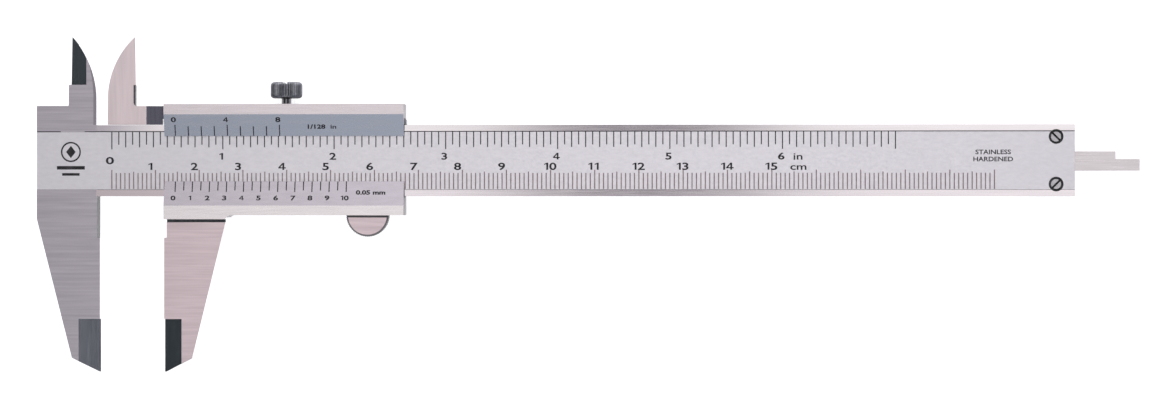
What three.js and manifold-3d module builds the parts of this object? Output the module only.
// Vernier caliper for 150 mm / 6 in, lying on its back with the jaws open by jawOpening.
// Millimetres. +X runs along the beam to the depth rod's tip, +Y towards the inside jaws, and +Z out
// of the graduated face. The pieces are drawn from the main scale's zero line (X), the beam's
// centreline (Y) and the table (Z), and the slider's pieces from the vernier's zero line.
import * as THREE from "three";
import { mergeVertices } from "three/addons/utils/BufferGeometryUtils.js";
import Module from "manifold-3d";

const wasm = await Module();
wasm.setup();

// ---- Driving dimensions ----
const jawOpening = 14.7;
const running = 0.1; // clearance of a piece that slides on another
const past = 1; // how far a cut or a joined piece runs beyond the surface it meets
const inset = 0.05; // how far a screw's or rivet's head lies in from the back

const backPlateTop = 1.8;
const beamBack = backPlateTop + running;
const beamFront = 5.4;
const midPlane = (beamBack + beamFront) / 2;
const sliderFront = 7.3;

const beamHalf = 8.1;
const beamEnd = 218;
const railWidth = 1.55;
const fieldDepth = 0.2;

const measuringFace = -2.7;
const jawTip = -48.05;
const headWidth = 14.5;
const headTop = 12.5;
const headTaper = -13.2; // where the fixed jaw begins to taper
const faceUndercut = 0.6;
const undercutEnd = -17.5;
const nib = { top: -36, edge: 0.8, fixed: 4.9, sliding: 4 };
const jawToe = { width: 6.45, y: -44.85, tip: 0.3 };

const insideEdge = -9.5;
const insideTip = 28.3;
const insideStep = { y: 17.3, fixed: -0.35, sliding: 0.15 };
const insideWidth = { fixed: 6, sliding: 6.5 };
const sideWall = 0.15; // gap between the sliding inside jaw's arm and the beam's edge
const insideBow = { y: 14, tip: 0.2 };
const knife = { width: 3.7, edge: 0.2 };
const passing = 0.3; // gap between the two inside jaws, which pass each other like scissors

const slider = { left: -2.5, right: 52.1, bottom: -12.4, top: 12.85 };
const channel = { bottom: -beamHalf - running, top: 9.6, roof: beamFront + running };
const upperLip = { edge: 5.6, shoulder: 10.5 };
const lowerLip = { edge: -4.7, shoulder: -10.2 };
const lipThickness = 0.35;
const solidBackEnd = 13; // the slider's back is one piece up to here, and a screwed plate beyond
const rootStep = { y: -13.3, groove: 0.7, depth: 0.4, width: 14.05, lead: 0.2, bend: 0.5, fillet: 1.6 };
const armPocket = { left: -7.1, depth: 0.9 };

const gib = { bottom: beamHalf + running, top: 9.3, short: 0.2, proud: 0.4, low: 2.2, high: 5.2 };
const gibScrew = { radius: 1, length: 2.7, tip: gib.top + 0.05, at: [8, 45] };

const clamp = { x: 25.05, gap: 0.02, shank: 1.1, head: 3.6, under: 14.2, top: 17.9, round: 0.8, slot: 1.2 };
const clampPad = { radius: 1.1, gap: 0.3, length: 1 };
const clampHole = 1.2;
const cornerSteps = 3; // along each rounded corner of the clamp screw's head

const thumb = { x: 43.7, radius: 4.9, tongue: 4, depth: 2, thickness: 1.6, pin: 0.6, pinPlay: 0.05 };

const rod = { left: 36, bottom: -2.35, top: 2.05, low: 2, high: 3.7, tipTop: 0.35, tipLength: 5.4 };
const groove = { left: 33, bottom: -2.5, top: 2.2, roof: 3.9 };
const rivet = { radius: 0.8, head: 1.25, headHeight: 0.5, sink: 0.15, at: [40, 48], play: 0.05 };

const plateScrew = { radius: 0.7, head: 1.3, headHeight: 0.8, top: 4, x: [17, 48], y: [-10.3, 11.2] };
const screwPlay = 0.1;
const screwSlot = { width: 0.45, depth: 0.4 };

const stopPlate = { left: 208.8, half: 7.6 };
const endScrew = {
  x: 213.8, y: 5.35, foot: 0.3, head: 1.25, headHeight: 0.8, shank: 0.8, play: 0.15, recess: 1.65,
};

// Straight pieces that stand in for an arc or a circle
const arcSteps = 16;
const pinSides = 24;
const clampSides = 40;

// ---- Materials ----
const metal = (color, roughness) => new THREE.MeshStandardMaterial({ color, roughness, metalness: 1 });
const satinSteel = metal(0xd7d4d9, 0.35);
const groundSteel = metal(0xc3b2b8, 0.4);
const greySteel = metal(0xa09aa6, 0.4);
const blackedSteel = metal(0x55555c, 0.5);
const brass = metal(0xc9a45c, 0.35);

// ---- Solids ----
function solid(geometry) {
  const bare = geometry.index ? geometry.toNonIndexed() : geometry.clone();
  bare.deleteAttribute("normal");
  bare.deleteAttribute("uv");
  const merged = mergeVertices(bare, 1e-4);
  return new wasm.Manifold(
    new wasm.Mesh({
      numProp: 3,
      vertProperties: merged.attributes.position.array,
      triVerts: new Uint32Array(merged.index.array),
    }),
  );
}

function block([x0, x1], [y0, y1], [z0, z1]) {
  const box = new THREE.BoxGeometry(x1 - x0, y1 - y0, z1 - z0);
  return solid(box.translate((x0 + x1) / 2, (y0 + y1) / 2, (z0 + z1) / 2));
}

const outline = (points) => new THREE.Shape(points.map(([x, y]) => new THREE.Vector2(x, y)));

function extrude(shape, depth) {
  return new THREE.ExtrudeGeometry(shape, { depth, bevelEnabled: false, curveSegments: arcSteps });
}

// A plate with its outline in X and Y.
const plate = (shape, [z0, z1]) => solid(extrude(shape, z1 - z0).translate(0, 0, z0));

// A bar with its section in Y and Z.
function alongX(section, [x0, x1]) {
  const turn = new THREE.Matrix4().makeBasis(
    new THREE.Vector3(0, 1, 0),
    new THREE.Vector3(0, 0, 1),
    new THREE.Vector3(1, 0, 0),
  );
  return solid(extrude(outline(section), x1 - x0).applyMatrix4(turn).translate(x0, 0, 0));
}

// A bar with its section in X and Z.
const alongY = (section, [y0, y1]) =>
  solid(extrude(outline(section), y1 - y0).rotateX(Math.PI / 2).translate(0, y1, 0));

// A round pin along Z.
function pinZ(radius, [z0, z1], x = 0, y = 0) {
  const pin = new THREE.CylinderGeometry(radius, radius, z1 - z0, pinSides).rotateX(Math.PI / 2);
  return solid(pin.translate(x, y, (z0 + z1) / 2));
}

// A round pin along Y at the gib's height.
function pinY(radius, [y0, y1], x = 0) {
  const pin = new THREE.CylinderGeometry(radius, radius, y1 - y0, pinSides);
  return solid(pin.translate(x, (y0 + y1) / 2, midPlane));
}

function piece(name, shape, material) {
  const { vertProperties, triVerts } = shape.getMesh();
  const geometry = new THREE.BufferGeometry();
  geometry.setAttribute("position", new THREE.BufferAttribute(vertProperties, 3));
  geometry.setIndex(new THREE.BufferAttribute(triVerts, 1));
  geometry.computeVertexNormals();
  const mesh = new THREE.Mesh(geometry, material);
  mesh.name = name;
  return mesh;
}

function at(mesh, x, y) {
  mesh.position.set(x, y, 0);
  return mesh;
}

// ---- Jaws, used on the beam (side -1) and on the slider (side 1) ----
// An outside jaw tapers from its root to a toe with a bevelled end.
function outsideJaw(side, rootWidth, rootBottom, top) {
  const x = (inwards) => measuringFace + side * inwards;
  const points = [
    [x(0), jawTip],
    [x(jawToe.tip), jawTip],
    [x(jawToe.width), jawToe.y],
    [x(rootWidth), rootBottom],
    [x(rootWidth), top],
    [x(faceUndercut), top],
    [x(faceUndercut), undercutEnd],
    [x(0), undercutEnd],
  ];
  return plate(outline(points), [beamBack, beamFront]);
}

// The toe is ground thin on both sides, so that the jaws measure in narrow grooves.
function nibRelief(side, width) {
  const heel = measuringFace + side * width;
  const beyond = measuringFace - side * past;
  const slope = (midPlane - nib.edge / 2 - beamBack) / width;
  const rise = slope * (width + past);
  const cut = (surface, inwards) => {
    const wedge = [[heel, surface], [beyond, surface], [beyond, surface + inwards * rise]];
    return alongY(wedge, [jawTip - past, nib.top]);
  };
  return cut(beamBack, 1).add(cut(beamFront, -1));
}

// An inside jaw has a straight measuring edge and a bowed back.
function insideJaw(side, edge, width, step, bottom, layer) {
  const x = (outwards) => edge - side * outwards;
  const bow = new THREE.Shape();
  bow.moveTo(x(0), insideTip);
  const reach = width - insideBow.tip;
  const rise = insideTip - insideBow.y;
  const radius = (reach * reach + rise * rise) / (2 * reach);
  const sweep = Math.asin(rise / radius);
  const centre = x(width - radius);
  if (side > 0) bow.absarc(centre, insideBow.y, radius, Math.PI - sweep, Math.PI, false);
  else bow.absarc(centre, insideBow.y, radius, sweep, 0, true);
  bow.lineTo(x(width), bottom);
  bow.lineTo(x(step), bottom);
  bow.lineTo(x(step), insideStep.y);
  bow.lineTo(x(0), insideStep.y);
  return plate(bow, layer);
}

// The measuring edge is ground to a knife from the jaw's outer face down to the mid-plane.
function knifeRelief(side, edge, outer, inner) {
  const heel = edge - side * knife.width;
  const beyond = edge + side * past;
  const depth = inner - outer - Math.sign(inner - outer) * knife.edge;
  const rise = (depth * (knife.width + past)) / knife.width;
  return alongY([[heel, outer], [beyond, outer], [beyond, outer + rise]], [insideStep.y, insideTip + past]);
}

// ---- The beam and its end ----
function mainBeam() {
  const head = [measuringFace - headWidth, insideEdge + insideWidth.fixed];
  const frontHalf = [midPlane + passing / 2, beamFront];
  const field = [-beamHalf + railWidth, beamHalf - railWidth];
  let beam = block([head[0], beamEnd], [-beamHalf, beamHalf], [beamBack, beamFront])
    .add(outsideJaw(-1, headWidth, headTaper, -beamHalf + past))
    .add(block(head, [beamHalf - past, headTop], frontHalf))
    .add(
      insideJaw(-1, insideEdge, insideWidth.fixed, insideStep.fixed, beamHalf, frontHalf).subtract(
        knifeRelief(-1, insideEdge, beamFront, frontHalf[0]),
      ),
    )
    .subtract(nibRelief(-1, nib.fixed))
    .subtract(block([head[0] - past, beamEnd + past], field, [beamFront - fieldDepth, beamFront + past]))
    .subtract(block([groove.left, beamEnd + past], [groove.bottom, groove.top], [0, groove.roof]));
  for (const side of [-1, 1]) {
    const y = side * endScrew.y;
    const recessFloor = beamFront - fieldDepth - endScrew.headHeight;
    beam = beam
      .subtract(pinZ(endScrew.shank + endScrew.play, [0, sliderFront], endScrew.x, y))
      .subtract(pinZ(endScrew.recess, [recessFloor, sliderFront], endScrew.x, y));
  }
  return piece("main_beam", beam, satinSteel);
}

function stopPlatePiece() {
  let shape = block([stopPlate.left, beamEnd], [-stopPlate.half, stopPlate.half], [0, backPlateTop]);
  for (const side of [-1, 1]) {
    const y = side * endScrew.y;
    shape = shape.subtract(pinZ(endScrew.shank + endScrew.play, [-past, beamBack], endScrew.x, y));
  }
  return piece("stop_plate", shape, greySteel);
}

// The slot of a screw that points along Z, from top upwards.
function slot(radius, top) {
  const half = screwSlot.width / 2;
  return block([-radius - past, radius + past], [-half, half], [top, top + past]);
}

function stopPlateScrew(name, side) {
  const top = beamFront - fieldDepth;
  const screw = pinZ(endScrew.shank, [endScrew.foot, top - endScrew.headHeight / 2])
    .add(pinZ(endScrew.head, [top - endScrew.headHeight, top]))
    .subtract(slot(endScrew.head, top - screwSlot.depth));
  const mesh = at(piece(name, screw, greySteel), endScrew.x, side * endScrew.y);
  mesh.rotation.z = (-side * Math.PI) / 4;
  return mesh;
}

// ---- The slider ----
function sliderBody() {
  const { left, right, bottom, top } = slider;
  const { edge: upEdge, shoulder: upShoulder } = upperLip;
  const { edge: lowEdge, shoulder: lowShoulder } = lowerLip;
  const lipTop = channel.roof + lipThickness;
  const upper = [
    [upEdge, channel.roof], [channel.top, channel.roof], [channel.top, backPlateTop],
    [top, backPlateTop], [top, sliderFront], [upShoulder, sliderFront], [upEdge, lipTop],
  ];
  const lower = [
    [lowEdge, lipTop], [lowShoulder, sliderFront], [bottom, sliderFront],
    [bottom, backPlateTop], [channel.bottom, backPlateTop], [channel.bottom, channel.roof],
    [lowEdge, channel.roof],
  ];
  const backHalf = [beamBack, midPlane - passing / 2];
  const armBottom = beamHalf + sideWall;
  const topWall = [channel.top - past, top + past];
  const jawRight = measuringFace + rootStep.width;
  const rootOutline = new THREE.Shape();
  rootOutline.moveTo(left, bottom + past);
  rootOutline.lineTo(left, rootStep.y);
  rootOutline.lineTo(jawRight + rootStep.lead, rootStep.y);
  rootOutline.quadraticCurveTo(jawRight + rootStep.bend, bottom, jawRight + rootStep.fillet, bottom);
  rootOutline.lineTo(jawRight + rootStep.fillet, bottom + past);
  let body = alongX(upper, [left, right])
    .add(alongX(lower, [left, right]))
    .add(block([left, solidBackEnd], [bottom, top], [0, backPlateTop]))
    .add(plate(rootOutline, [0, sliderFront]))
    .add(outsideJaw(1, rootStep.width, rootStep.y - rootStep.groove, bottom))
    .add(
      insideJaw(1, insideEdge, insideWidth.sliding, insideStep.sliding, armBottom, backHalf).subtract(
        knifeRelief(1, insideEdge, beamBack, backHalf[1]),
      ),
    )
    .add(block([insideEdge - past, left + past], [armBottom, headTop], backHalf))
    .subtract(nibRelief(1, nib.sliding))
    .subtract(block(
      [measuringFace - past, jawRight + past],
      [rootStep.y - rootStep.groove, rootStep.y],
      [beamFront - rootStep.depth, sliderFront + past],
    ))
    .subtract(armPocketCut(backHalf[1]))
    .subtract(block(
      [left - past, solidBackEnd + past],
      [channel.bottom, channel.top],
      [backPlateTop, channel.roof],
    ))
    .subtract(pinY(clampHole, topWall, clamp.x))
    .subtract(thumbTongue(running));
  for (const x of gibScrew.at) {
    body = body.subtract(pinY(gibScrew.radius + screwPlay, topWall, x));
  }
  for (const [x, y] of plateScrewPlaces()) {
    body = body.subtract(pinZ(plateScrew.radius + screwPlay, [0, plateScrew.top + screwPlay], x, y));
  }
  body = body.subtract(pinZ(thumb.pin + thumb.pinPlay, [0, midPlane + thumb.thickness], thumb.x, thumbPinY));
  return piece("slider_body", body, groundSteel);
}

// The arm behind the head is cut deeper towards the slider's end wall, where the grinding wheel ran out.
function armPocketCut(surface) {
  const { left, depth } = armPocket;
  const above = surface + past;
  const wedge = [[left, surface], [slider.left, surface - depth], [slider.left, above], [left, above]];
  return alongY(wedge, [beamHalf, headTop + past]);
}

const plateScrewPlaces = () => plateScrew.x.flatMap((x) => plateScrew.y.map((y) => [x, y]));

function sliderBackPlate() {
  let shape = block([solidBackEnd + running, slider.right], [slider.bottom, slider.top], [0, backPlateTop])
    .add(block([rod.left, slider.right], [rod.bottom, rod.top], [backPlateTop - past, rod.low]));
  for (const [x, y] of plateScrewPlaces()) {
    shape = shape
      .subtract(pinZ(plateScrew.radius + screwPlay, [-past, beamBack], x, y))
      .subtract(pinZ(plateScrew.head + screwPlay, [-past, plateScrew.headHeight + screwPlay], x, y));
  }
  return piece("slider_back_plate", rivetHoles(shape), satinSteel);
}

function rivetHoles(shape) {
  const y = (rod.bottom + rod.top) / 2;
  let cut = shape;
  for (const x of rivet.at) {
    cut = cut
      .subtract(pinZ(rivet.radius + rivet.play, [-past, rod.high + past], x, y))
      .subtract(pinZ(rivet.head + rivet.play, [-past, rivet.headHeight + rivet.sink], x, y));
  }
  return cut;
}

function backPlateScrew(name, x, y) {
  const { radius, head, headHeight, top } = plateScrew;
  const screw = pinZ(radius, [headHeight / 2, top])
    .add(pinZ(head, [inset, headHeight]))
    .subtract(slot(head, screwSlot.depth - past));
  return at(piece(name, screw, greySteel), x, y);
}

function gibStrip() {
  const span = [slider.left + gib.short, slider.right + gib.proud];
  return piece("gib_strip", block(span, [gib.bottom, gib.top], [gib.low, gib.high]), blackedSteel);
}

function gibScrewPiece(name, x) {
  const end = gibScrew.tip + gibScrew.length;
  const slotCut = block(
    [-gibScrew.radius - past, gibScrew.radius + past],
    [end - screwSlot.depth, end + past],
    [midPlane - screwSlot.width / 2, midPlane + screwSlot.width / 2],
  );
  return at(piece(name, pinY(gibScrew.radius, [gibScrew.tip, end]).subtract(slotCut), greySteel), x, 0);
}

const clampTip = gib.top + clampPad.gap + clampPad.length;

function clampPadPiece() {
  const pad = pinY(clampPad.radius, [gib.top + clampPad.gap, clampTip]);
  return at(piece("clamp_pad", pad, brass), clamp.x, 0);
}

function clampScrew() {
  const { gap, shank, head, under, top, round, slot: slotWidth } = clamp;
  const low = clampTip + gap;
  const corner = (centreY, from) =>
    Array.from({ length: cornerSteps + 1 }, (_, i) => {
      const angle = from + ((i / cornerSteps) * Math.PI) / 2;
      return [head - round + round * Math.cos(angle), centreY + round * Math.sin(angle)];
    });
  const profile = [
    [0, low], [shank, low], [shank, under],
    ...corner(under + round, -Math.PI / 2), ...corner(top - round, 0),
    [0, top],
  ].map(([r, y]) => new THREE.Vector2(r, y));
  const turned = solid(new THREE.LatheGeometry(profile, clampSides).translate(0, 0, midPlane));
  const slotCut = block(
    [-slotWidth / 2, slotWidth / 2],
    [top - screwSlot.depth, top + past],
    [midPlane - head - past, midPlane + head + past],
  );
  return at(piece("clamp_screw", turned.subtract(slotCut), blackedSteel), clamp.x, 0);
}

const thumbPinY = slider.bottom + thumb.depth / 2;

// The tongue by which the thumb rest sits in the slider's lower wall, larger all round by extra.
function thumbTongue(extra) {
  const half = thumb.tongue / 2 + extra;
  const thick = thumb.thickness / 2 + extra;
  return block(
    [thumb.x - half, thumb.x + half],
    [slider.bottom - past, slider.bottom + thumb.depth + extra],
    [midPlane - thick, midPlane + thick],
  );
}

function thumbRest() {
  const half = new THREE.Shape();
  half.absarc(thumb.x, slider.bottom, thumb.radius, Math.PI, 2 * Math.PI, false);
  half.closePath();
  const rest = plate(half, [beamBack, beamFront])
    .add(thumbTongue(0))
    .subtract(pinZ(thumb.pin + thumb.pinPlay, [0, beamFront], thumb.x, thumbPinY));
  return piece("thumb_rest", rest, groundSteel);
}

function thumbRestPin() {
  const pin = pinZ(thumb.pin, [beamBack, midPlane + thumb.thickness - running]);
  return at(piece("thumb_rest_pin", pin, greySteel), thumb.x, thumbPinY);
}

// The depth rod ends level with the beam when the jaws are shut.
function depthBar() {
  const { left, bottom, top, low, high, tipTop, tipLength } = rod;
  const bar = block([left, beamEnd - tipLength], [bottom, top], [low, high])
    .add(block([left, beamEnd], [bottom, tipTop], [low, high]));
  return piece("depth_bar", rivetHoles(bar), satinSteel);
}

function depthBarRivet(name, x) {
  const shape = pinZ(rivet.radius, [rivet.headHeight / 2, rod.high - rivet.play])
    .add(pinZ(rivet.head, [inset, rivet.headHeight]));
  return at(piece(name, shape, greySteel), x, (rod.bottom + rod.top) / 2);
}

// ---- The assembly ----
const sliderGroup = new THREE.Group();
sliderGroup.position.x = jawOpening;
sliderGroup.add(sliderBody(), sliderBackPlate(), gibStrip(), clampPadPiece(), clampScrew());
sliderGroup.add(thumbRest(), thumbRestPin(), depthBar());
plateScrewPlaces().forEach(([x, y], i) => {
  sliderGroup.add(backPlateScrew(`back_plate_screw_${i + 1}`, x, y));
});
gibScrew.at.forEach((x, i) => sliderGroup.add(gibScrewPiece(`gib_screw_${i + 1}`, x)));
rivet.at.forEach((x, i) => sliderGroup.add(depthBarRivet(`depth_bar_rivet_${i + 1}`, x)));

const caliper = new THREE.Group();
caliper.add(mainBeam(), stopPlatePiece(), sliderGroup);
caliper.add(stopPlateScrew("stop_plate_screw_upper", 1), stopPlateScrew("stop_plate_screw_lower", -1));

// The origin is the middle of the whole caliper's outline, on the table.
const bounds = new THREE.Box3().setFromObject(caliper);
const middle = bounds.getCenter(new THREE.Vector3());
caliper.position.set(-middle.x, -middle.y, -bounds.min.z);

export default caliper;
